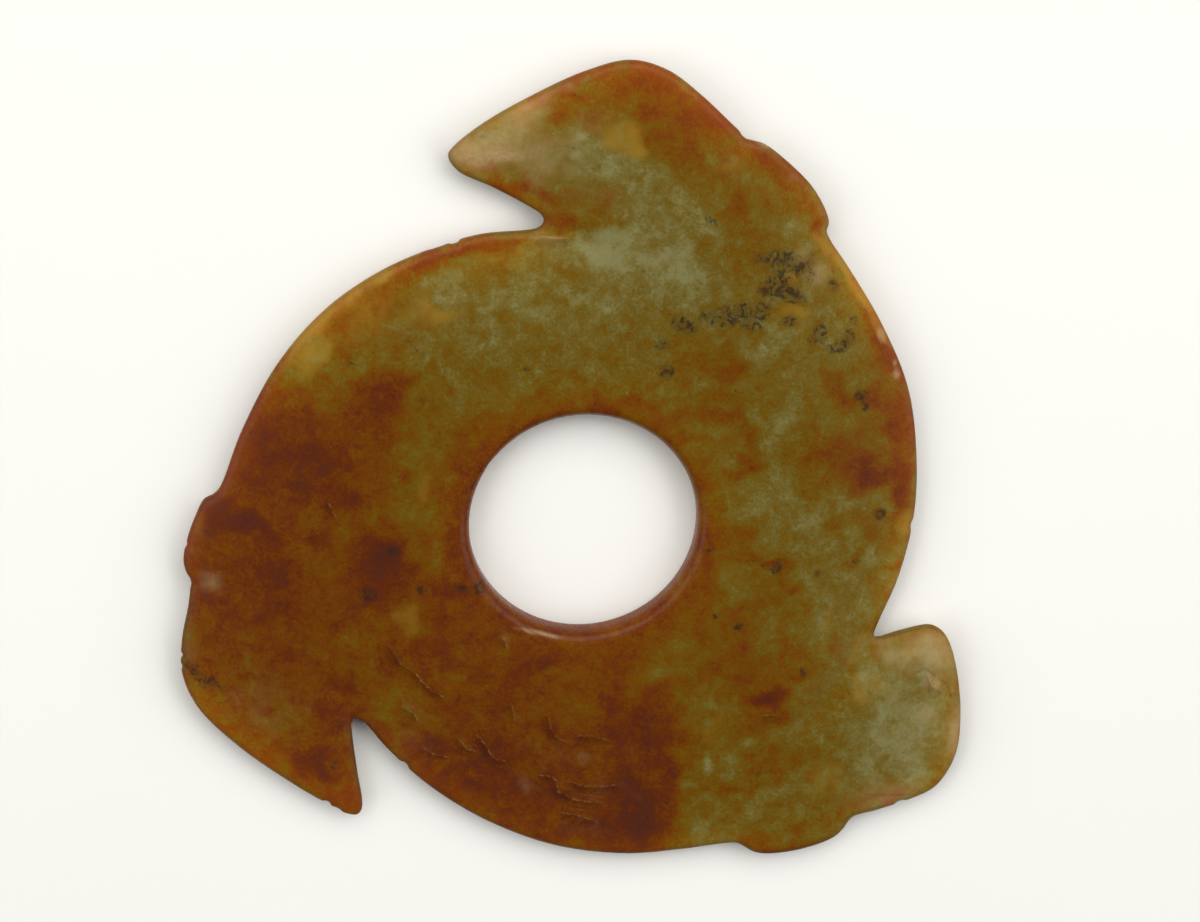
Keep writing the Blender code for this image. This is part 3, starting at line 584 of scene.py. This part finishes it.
# Clusters of manganese specks, as above
MANGANESE = (
    (31.5, 35, 3, 1.8, -30, 1), (33.2, 34.2, 1.8, 1.4, 0, 0.8), (27.5, 35.5, 2.4, 1.4, 0, 0.8),
    (29.6, 32.4, 2, 1.4, 0, 0.8), (30, 30.5, 3.6, 1.4, -10, 1), (32.5, 29.2, 2.2, 0.8, -15, 0.9),
    (34.6, 35.6, 1, 1, 0, 0.8), (34.8, 32.6, 1.2, 0.9, 0, 0.6), (26.2, 27, 2.8, 1.8, 30, 1),
    (21.4, 26.6, 2.8, 1.8, 10, 1), (26.2, 25.2, 1.6, 0.8, 0, 0.8), (23.8, 28.2, 1.6, 0.9, 30, 0.8),
    (14.5, 25.8, 1.4, 1.4, 0, 1), (16.3, 25, 1.4, 1, 0, 1), (12, 22.5, 1.3, 1.1, 0, 1),
    (17.8, 27, 1.2, 0.6, 0, 0.6), (12.8, 18, 1.3, 1.3, 0, 1), (36.6, 23.6, 1.2, 1.8, 0, 1),
    (39.5, 21.3, 2.2, 1, 10, 1), (35.4, 22.6, 1, 0.8, 0, 0.8), (41.2, 22.8, 1, 1.6, 0, 1),
    (41.9, 25.6, 0.8, 0.8, 0, 0.9), (31.8, 25.8, 1.6, 1, 0, 0.8), (38.4, 31.2, 1, 1.4, 30, 0.7),
    (19.1, 41.8, 1.2, 0.6, -20, 1), (20.2, 37.8, 0.4, 0.4, 0, 0.9), (43.4, 13.5, 1.4, 1, 0, 0.8),
    (44.3, 11.8, 0.8, 1.4, 0, 0.8), (47.5, -6.4, 1.1, 1.1, 0, 0.9), (30.8, -15, 1.2, 0.9, 0, 0.9),
    (31.4, -14, 0.6, 0.8, 0, 0.8), (25.2, -24.6, 1.3, 0.8, 0, 0.8), (21.7, -22.6, 1, 0.6, 30, 0.8),
    (36, -33, 0.6, 1.4, 10, 0.8), (-60.5, -30.8, 2.6, 1, -45, 1), (-58.5, -32.8, 2, 1.1, 20, 1),
    (-56.2, -33.6, 1, 0.8, 0, 0.7), (-39, -47.4, 1.2, 0.8, 20, 1), (-25, -17.2, 0.9, 1, 0, 0.9),
    (-33.5, -17.8, 1.8, 1.2, 0, 0.9), (-8.8, 18.8, 0.7, 0.4, 0, 1), (-29.4, -10.6, 1.4, 1.2, 0, 0.7),
    (-35.6, 19.7, 0.8, 0.5, 0, 0.9), (-41.2, 23.6, 0.4, 0.9, 0, 0.8), (43.9, -14.1, 0.7, 0.7, 0, 0.8),
    (-27.4, 23.4, 0.5, 0.4, 0, 0.8), (-59, -12, 1.2, 1.2, 0, 0.4), (-58.2, -7.5, 1.4, 1, 0, 0.5),
    (20.5, -11.5, 1, 1.2, 0, 0.7), (-24.6, 14, 1.4, 0.8, -20, 0.5), (-16, -17.2, 1.2, 1.4, 0, 0.8),
    (-18.6, -17, 0.9, 0.9, 0, 0.8), (37.7, -15.9, 1, 1.2, 0, 0.5), (-45.5, -50, 3, 1, -25, 0.4),
    (-15.8, 54.8, 0.4, 0.4, 0, 0.9), (-12, 50, 0.4, 0.5, 0, 0.8), (-2.4, 53.4, 0.4, 0.5, 0, 0.8),
    (-1.8, 60.9, 0.4, 0.4, 0, 0.9), (-5.4, -31.2, 1.2, 0.6, 0, 0.6), (10.8, -56.8, 1.2, 1.4, 0, 0.5),
    (14.6, -55.6, 0.5, 0.7, 0, 0.8), (37.2, -65.2, 1, 0.5, 0, 0.5),
)
# How strongly the thin edge glows along the rim, a painted glow for the light it lets through, as above
GLOWS = (
    (-38, 28, 24, 9, 42, 0.8), (-15, 37, 12, 7, 5, 0.7), (-9, 58, 14, 7, 26, 0.9),
    (8, 62, 14, 8, -12, 1), (21, 56, 9, 5, -40, 0.8), (33, 46, 8, 5, -55, 0.7), (44, 30, 15, 5, -57, 1),
    (51, 8, 12, 4, -82, 0.6), (51, -14, 13, 4, 78, 0.7), (57, -29, 9, 5, 0, 0.6),
    (61, -43, 14, 5, 90, 0.7), (54, -56, 10, 5, 20, 0.5), (20, -64, 12, 3, 0, 0.4),
    (-8, -61, 15, 4, -14, 0.2), (-24, -51, 9, 4, -38, 0.3), (-51, -43, 15, 6, -40, 0.8),
    (-59, -36, 4, 5, -30, 0.6), (-12, 46, 8, 2, -28, 0.4), (-56, 4, 10, 5, 65, 0.7),
    (-61, -10, 3, 8, 0, 0.5), (-37, -54, 4, 3, -50, 0.6),
)


def overlapped(points, spread, rows):
    """Lay flat-topped oval patches over bare stone, each covering its strength of what is bare."""
    cover = np.zeros(points.shape[:-1])
    for *patch, strength in rows:
        cover = cover + (1 - cover) * strength * oval(points, spread, patch)
    return cover


def painted(points, spread, level, rows):
    """Paint flat-topped oval patches in turn, each drawing the level towards its own."""
    levels = np.full(points.shape[:-1], level)
    for *patch, wanted, strength in rows:
        levels = levels + (wanted - levels) * strength * oval(points, spread, patch)
    return levels


def oval(points, spread, patch):
    """A patch, 1 in its middle and falling to 1/e on its oval, by the way out to the power 2.5."""
    x, y, long, wide, turn = patch
    away = points * 1000 - (x, y)
    c, s = np.cos(np.radians(turn)), np.sin(np.radians(turn))
    lengthwise = (away[..., 0] * c + away[..., 1] * s) / (long * spread)
    sideways = (away[..., 1] * c - away[..., 0] * s) / (wide * spread)
    return np.exp(-(lengthwise ** 2 + sideways ** 2) ** 1.25)


def wandered(points, reach, length, seed):
    """Push places about by sums of sine waves, so that no patch keeps its oval."""
    chance = np.random.default_rng(seed)
    pushed = points.copy()
    for _ in range(12):
        angle, start = chance.uniform(0, 2 * np.pi, 2)
        size = length * chance.uniform(0.4, 1.6)
        wave = np.sin(2 * np.pi * (points @ np.array([np.cos(angle), np.sin(angle)])) / size + start)
        push = chance.uniform(0, 2 * np.pi)
        way = np.array([np.cos(push), np.sin(push)])
        pushed = pushed + reach * (wave * size / length)[..., None] * way / 3
    return pushed


def paint_stains(mesh, places, from_rim, from_hole, is_under, hole_middle):
    """Give the mesh the fields that its stone reads, each a number at every place.

    A red ring runs round the hole, weaker to the upper right. Under the stone the patches are wider
    and weaker, by how far inside the rim and the hole a place lies.
    """
    hidden = is_under[:, None] * smooth_step(np.minimum(from_rim, from_hole), 0, UNDER_REACH)
    spread, kept = 1 + UNDER_SPREAD * hidden, 1 - UNDER_FADE * hidden
    exact = places[:, :, :2]
    moved = wandered(exact, WANDER_REACH, WANDER_LENGTH, 3)
    level = painted(moved, spread, BARE_LEVEL, STAINS)
    slant = (exact - hole_middle[:2]).sum(axis=2) / RING_SLANT_REACH
    ring = (RING_STRENGTH - RING_SLANT * np.clip(slant, -1, 1)) * np.exp(-(from_hole / RING_WIDTH) ** 2)
    level = level + (RING_LEVEL - level) * ring
    level = FADED_LEVEL + (level - FADED_LEVEL) * kept
    flake_side, flake_near = line_fields(exact.reshape(-1, 2), FLAKE_EDGES)
    vein_side, vein_near = line_fields(exact.reshape(-1, 2), VEINS)
    upper = np.repeat(~is_under, places.shape[1])
    fields = {
        "level": level,
        "yellow": overlapped(moved, spread, YELLOWS) * kept,
        "bleach_and_glint": overlapped(exact, spread, BLEACHES_AND_GLINTS) * kept,
        "manganese": overlapped(exact, spread, MANGANESE) * (1 - hidden),
        "glow": overlapped(exact, spread, GLOWS),
        "from_rim": np.clip(from_rim, 0, FIELD_REACH),
        "from_hole": np.clip(from_hole, 0, FIELD_REACH),
        "flake_side": flake_side,
        "flake_near": flake_near * upper,
        "vein_side": vein_side,
        "vein_near": vein_near * upper,
    }
    for name, values in fields.items():
        layer = mesh.attributes.new(name, "FLOAT", "POINT")
        layer.data.foreach_set("value", values.ravel().astype(np.float32))


class Dye:
    """A value in a material: a socket to which Python's own signs add Math nodes."""

    tree = None

    def __init__(self, socket):
        self.socket = socket

    @classmethod
    def node(cls, kind, settings, values, out=0):
        """Add a node, its settings first, and then a value or a link for each socket named."""
        made = cls.tree.nodes.new("ShaderNode" + kind)
        for name, setting in settings.items():
            setattr(made, name, setting)
        for name, value in values.items():
            if isinstance(value, Dye):
                cls.tree.links.new(value.socket, made.inputs[name])
            else:
                made.inputs[name].default_value = value
        return cls(made.outputs[out])

    def sum(self, operation, first, second):
        return Dye.node("Math", {"operation": operation}, {0: first, 1: second})

    def __add__(self, other):
        return self.sum("ADD", self, other)

    def __radd__(self, other):
        return self.sum("ADD", other, self)

    def __sub__(self, other):
        return self.sum("SUBTRACT", self, other)

    def __rsub__(self, other):
        return self.sum("SUBTRACT", other, self)

    def __mul__(self, other):
        return self.sum("MULTIPLY", self, other)

    def __rmul__(self, other):
        return self.sum("MULTIPLY", other, self)

    def __truediv__(self, other):
        return self.sum("DIVIDE", self, other)

    def __rpow__(self, other):
        return self.sum("POWER", other, self)


def between(value, low, high):
    """Rise smoothly from 0 to 1 as a value goes from low to high."""
    return Dye.node("MapRange", {"interpolation_type": "SMOOTHSTEP"},
                    {"Value": value, "From Min": low, "From Max": high})


def clouds(where, size, seed, detail=4.0, rough=0.55, twist=0.0):
    """Cloudy noise round 0.5, with lumps about one size across."""
    return Dye.node("TexNoise", {"noise_dimensions": "4D"},
                    {"Vector": where, "W": seed, "Scale": 1 / size, "Detail": detail,
                     "Roughness": rough, "Distortion": twist})


def laid(under, over, share):
    """Lay one colour over another by a share. A bare colour is red, green and blue."""
    under, over = (tint if isinstance(tint, Dye) else (*tint, 1) for tint in (under, over))
    return Dye.node("Mix", {"data_type": "RGBA"}, {0: share, 6: under, 7: over}, 2)


def field(name):
    """Read one of the fields that the mesh holds."""
    return Dye.node("Attribute", {"attribute_name": name}, {}, "Fac")


def scattered(where, cell, seed, radius):
    """Scatter soft round dots, at most one in each cell, their radius a share of the cell."""
    far = Dye.node("TexVoronoi", {"voronoi_dimensions": "4D"},
                   {"Vector": where, "W": seed, "Scale": 1 / cell})
    return 1 - between(far, radius * 0.5, radius)


def ragged(where, stain_name, seed, low, high):
    """Read a field with its edge torn by clouds, rising from 0 at the low end to 1 at the high end."""
    torn = field(stain_name) + (clouds(where, 0.0024, seed, 5.0, 0.60, 0.4) - 0.5) * 0.7
    return between(torn, low, high)


def fading(distance, half):
    """Fall from 1 at no distance, to a half at the given one and a quarter at twice that."""
    return 0.5 ** (distance / half)


def thin_line(distance, half):
    """Fall from 1 on a line by the square of the distance, to a half at the given one."""
    across = distance / half
    return 0.5 ** (across * across)


# The stone's colours as it is more and more stained: the level, and its red, green and blue
STONE = (
    (0.00, (0.194, 0.179, 0.074)),
    (0.14, (0.162, 0.132, 0.035)),
    (0.26, (0.136, 0.095, 0.014)),
    (0.37, (0.135, 0.077, 0.004)),
    (0.48, (0.137, 0.057, 0.002)),
    (0.60, (0.143, 0.040, 0.002)),
    (0.73, (0.117, 0.024, 0.003)),
    (0.87, (0.088, 0.018, 0.006)),
    (1.03, (0.070, 0.019, 0.010)),
)

# What is laid over the stained stone: two colours that clouds or the stain choose between, or one
OCHRE = ((0.235, 0.118, 0.008), (0.275, 0.165, 0.022))
# the pale pair next serves both bleached stone and the painted glints
BLEACH_AND_GLINT_TINTS = ((0.270, 0.185, 0.085), (0.370, 0.270, 0.140))
# a painted glow: the thin rim coloured as if lit by light coming through it
LIT_EDGE = ((0.290, 0.142, 0.011), (0.240, 0.050, 0.002))
SMUDGE = (0.050, 0.030, 0.010)
SPECK = (0.026, 0.014, 0.006)
DARK_DOT = (0.030, 0.010, 0.006)
PALE_DOT = (0.500, 0.420, 0.260)
BRUISE = (0.270, 0.130, 0.045)
IRON = (0.060, 0.020, 0.006)


def polished_jade(name):
    """The stone: half-clear and waxy, stained to a level that clouds of four sizes push about.

    The level picks the colour. Yellow ochre, bleached stone with painted glints, specks, bruises and
    a painted glow for the light that comes through the thin edge are laid over it.
    """
    material = bpy.data.materials.new(name)
    material.use_nodes = True
    Dye.tree = material.node_tree
    shader = material.node_tree.nodes["Principled BSDF"]
    place = Dye.node("TexCoord", {}, {}, "Object")
    from_rim, from_hole, glow = field("from_rim"), field("from_hole"), field("glow")
    flake_side, flake_near = field("flake_side"), field("flake_near")

    # the clouds, and the level that they push about
    broad = clouds(place, 0.0034, 1.0, 5.0, 0.55, 0.6)
    middling = clouds(place, 0.0014, 2.0, 4.0, 0.60, 0.5)
    fine = clouds(place, 0.0005, 3.0, 3.0, 0.65)
    grain = clouds(place, 0.00018, 4.0, 2.0, 0.7)
    flecks = between(clouds(place, 0.0016, 6.0, 4.0, 0.6, 1.0), 0.56, 0.74)
    stain = field("level")
    push = (broad - 0.5) * 0.72 + (middling - 0.5) * 0.50 + flecks * 0.12
    ripple = (fine - 0.5) * (0.30 + stain * 0.45) + (grain - 0.5) * (0.50 + stain * 0.30)
    level = stain + push * (1.12 - stain * 0.30) + ripple
    colour = STONE[0][1]
    for (low, _), (high, deeper) in zip(STONE, STONE[1:]):
        colour = laid(colour, deeper, (level - low) * (1 / (high - low)))

    # ochre, bleached stone with its painted glints, and the painted glow where the thin edge lets light
    # through
    colour = laid(colour, laid(*OCHRE, fine), ragged(place, "yellow", 12.0, 0.15, 0.95) * 0.85)
    # bleached stone, and painted highlights where its patches are glints
    bleach_and_glint_tint = laid(*BLEACH_AND_GLINT_TINTS, between(fine, 0.3, 0.7))
    colour = laid(colour, bleach_and_glint_tint, ragged(place, "bleach_and_glint", 16.0, 0.05, 1.0) * 0.75)
    # painted glow: the thin rim made lighter and warmer, as if lit through
    edge = fading(from_rim, 0.0016) * glow * between(broad, 0.2, 0.6)
    colour = laid(colour, laid(*LIT_EDGE, between(level, 0.30, 0.56)), edge * 0.7)

    # manganese, dots, bruises along the flakes and healed cracks
    smudge = between(field("manganese"), 0.1, 1.0)
    colour = laid(colour, SMUDGE, smudge * 0.32)
    specks = between(clouds(place, 0.0014, 21.0, 5.0, 0.64, 1.4), 0.45, 0.58) * between(smudge, 0.0, 0.7)
    colour = laid(colour, SPECK, specks * 0.82)
    colour = laid(colour, DARK_DOT, scattered(place, 0.0040, 31.0, 0.07) * 0.7)
    colour = laid(colour, PALE_DOT, scattered(place, 0.0034, 32.0, 0.035) * 0.5)
    flake_line = thin_line(flake_side, 0.00014) * flake_near * between(fine, 0.46, 0.62)
    colour = laid(colour, BRUISE, flake_line * 0.9)
    vein_line = thin_line(field("vein_side"), 0.00018) * field("vein_near") * between(fine, 0.36, 0.56)
    colour = laid(colour, IRON, vein_line * 0.4)

    # lighter where it is thin, as a painted glow, and darker beside a flake's edge and on the very rim, as
    # painted shade, over tone from the clouds
    painted_thin_glow = fading(from_rim, 0.0050) * glow + 0.6 * fading(from_hole, 0.0030)
    # painted shade on the lower side of each flake's edge
    lost = between(0 - flake_side, 0.0, 0.0001) * fading(0 - flake_side, 0.0008)
    tone_and_painted_light = 0.63 + middling * 0.14 + grain * 0.36 + painted_thin_glow * 0.4 + 0.26 * fading(from_rim, 0.012)
    # painted shade: darker beside the flakes' edges and on the very rim
    tone_and_painted_light = tone_and_painted_light * (1 - lost * flake_near * 0.4) * (1 - 0.35 * fading(from_rim, 0.0004))
    colour = Dye.node("VectorMath", {"operation": "SCALE"}, {0: colour, "Scale": tone_and_painted_light})
    Dye.tree.links.new(colour.socket, shader.inputs["Base Color"])

    worn = fading(from_rim, 0.0010)
    roughness = 0.22 + middling * 0.10 + specks * 0.15 + flake_line * 0.15 + worn * 0.20
    Dye.tree.links.new(roughness.socket, shader.inputs["Roughness"])

    step = between(flake_side, -0.00012, 0.00012) * flake_near
    height = middling * 0.6 + fine * 0.12 + grain * 0.03 - specks * 0.10 + step * 0.5 - vein_line * 0.3
    bump = Dye.node("Bump", {}, {"Height": height, "Strength": 0.35, "Distance": 0.00012})
    Dye.tree.links.new(bump.socket, shader.inputs["Normal"])

    shader.inputs["IOR"].default_value = 1.58
    shader.inputs["Specular IOR Level"].default_value = 0.10
    shader.inputs["Subsurface Weight"].default_value = 0.30
    shader.inputs["Subsurface Radius"].default_value = (1.0, 0.5, 0.2)
    shader.inputs["Subsurface Scale"].default_value = 0.0007
    return material


places, from_rim, from_hole, is_under, hole_middle = skin_of_stone()
jade_mesh = closed_skin("carved_jade", places)
paint_stains(jade_mesh, places, from_rim, from_hole, is_under, hole_middle)
jade_mesh.materials.append(polished_jade("stained_nephrite"))
jade = bpy.data.objects.new("carved_jade", jade_mesh)
bpy.context.scene.collection.objects.link(jade)
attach(jade, "root")
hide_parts("jade_disc")


# The floor, lights and camera: a plain pale floor, one broad soft light from beyond the top wing,
# a weaker one from each side, and the camera where the photograph was taken from.
FLOOR_HALF = 3.0
FLOOR_DROP = 0.00004
PICTURE_WIDTH = 1200.0      # pixels
SENSOR_WIDTH = 36.0         # of the camera, in millimetres
WORLD_TINT, WORLD_STRENGTH = (0.95, 0.97, 1.0, 1), 0.06
LIGHTS = (
    # name, place, width and height, watts, colour
    ("studio_key", (0.05, 0.95, 1.05), (1.9, 1.1), 20.3, (1.0, 0.985, 0.955)),
    ("studio_left", (-1.00, 0.10, 0.75), (1.5, 1.1), 9.6, (1.0, 0.99, 0.97)),
    ("studio_right", (1.00, 0.10, 0.75), (1.5, 1.1), 9.6, (1.0, 0.99, 0.97)),
)


def pale_floor(name):
    """A matt off-white paint, a little uneven."""
    material = bpy.data.materials.new(name)
    material.use_nodes = True
    Dye.tree = material.node_tree
    shader = material.node_tree.nodes["Principled BSDF"]
    place = Dye.node("TexCoord", {}, {}, "Object")
    uneven = clouds(place, 0.08, 5.0, 3.0)
    colour = laid((0.86, 0.86, 0.83), (0.84, 0.84, 0.81), uneven)
    Dye.tree.links.new(colour.socket, shader.inputs["Base Color"])
    shader.inputs["Roughness"].default_value = 0.9
    return material


floor_mesh = bpy.data.meshes.new("floor")
corners = [(x * FLOOR_HALF, y * FLOOR_HALF, -FLOOR_DROP) for x, y in ((-1, -1), (1, -1), (1, 1), (-1, 1))]
floor_mesh.from_pydata(corners, [], [(0, 1, 2, 3)])
floor_mesh.materials.append(pale_floor("pale_paint"))
floor = bpy.data.objects.new("floor", floor_mesh)
bpy.context.scene.collection.objects.link(floor)

for light_name, spot, (width, height), watts, tint in LIGHTS:
    lamp = bpy.data.lights.new(light_name, "AREA")
    lamp.shape = "RECTANGLE"
    lamp.size, lamp.size_y = width, height
    lamp.energy = watts
    lamp.color = tint
    light = bpy.data.objects.new(light_name, lamp)
    light.location = spot
    light.rotation_euler = (-Vector(spot)).to_track_quat("-Z", "Y").to_euler()
    bpy.context.scene.collection.objects.link(light)

world = bpy.data.worlds.new("studio")
world.use_nodes = True
backdrop = world.node_tree.nodes["Background"]
backdrop.inputs["Color"].default_value = WORLD_TINT
backdrop.inputs["Strength"].default_value = WORLD_STRENGTH
bpy.context.scene.world = world
bpy.context.scene.view_settings.view_transform = "Standard"

tilt = picture_to_disc()
hole_from_camera = DISC_DISTANCE * BODY_RADIUS * Vector(lines_of_sight([HOLE_IN_PICTURE])[0])
lens = bpy.data.cameras.new("photo_camera")
lens.lens, lens.sensor_width = LENS_LENGTH / PICTURE_WIDTH * SENSOR_WIDTH, SENSOR_WIDTH
camera = bpy.data.objects.new("photo_camera", lens)
camera.matrix_world = Matrix.Translation(hole_middle - tilt @ hole_from_camera) @ tilt.to_4x4()
bpy.context.scene.collection.objects.link(camera)
bpy.context.scene.camera = camera
